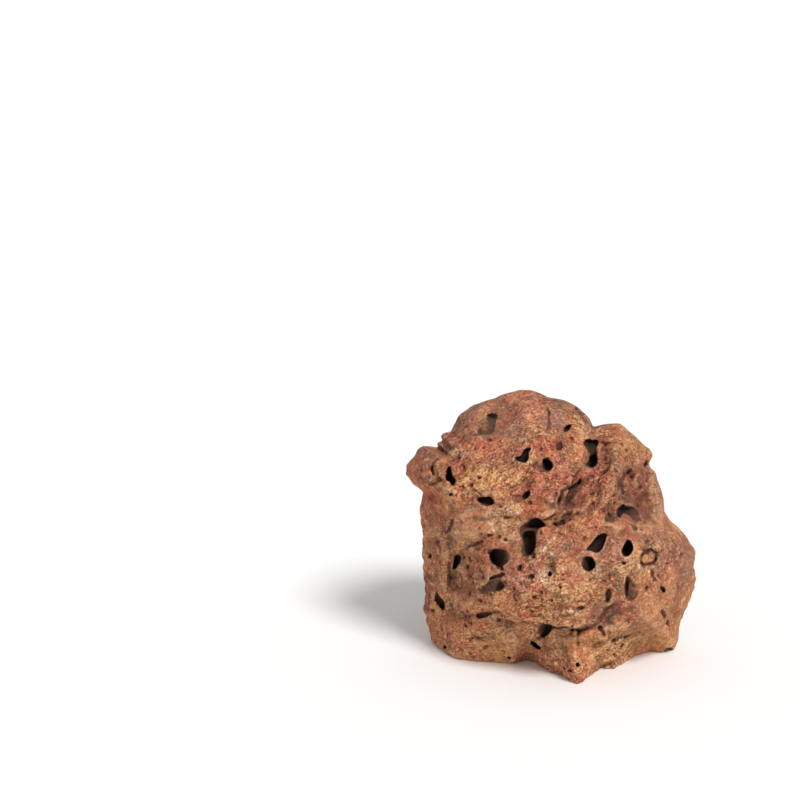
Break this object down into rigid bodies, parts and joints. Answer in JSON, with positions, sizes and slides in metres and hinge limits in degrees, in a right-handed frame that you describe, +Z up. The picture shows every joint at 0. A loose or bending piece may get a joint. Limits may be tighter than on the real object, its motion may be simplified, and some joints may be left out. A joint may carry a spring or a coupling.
{
  "type": "porous aquascape stone",
  "caption": "Upright lump of rusty, bubble-holed rock with ledges and pits all round, resting on a base worn flat; used as a hardscape stone in an aquarium.",
  "frame": {"origin": "on the ground, under the middle of the stone's bounding box", "axes": "+Z up, +X to the right of a viewer who faces the stone's front, +Y away from that viewer"},
  "size_m": [0.1506, 0.117, 0.1363],
  "materials": {
    "porous_rock": "dry, rough and granular: ochre, rust red and mauve brown, dark inside the pores"
  },
  "bodies": {
    "root": {"stone": "porous_rock"}
  },
  "joints": []
}
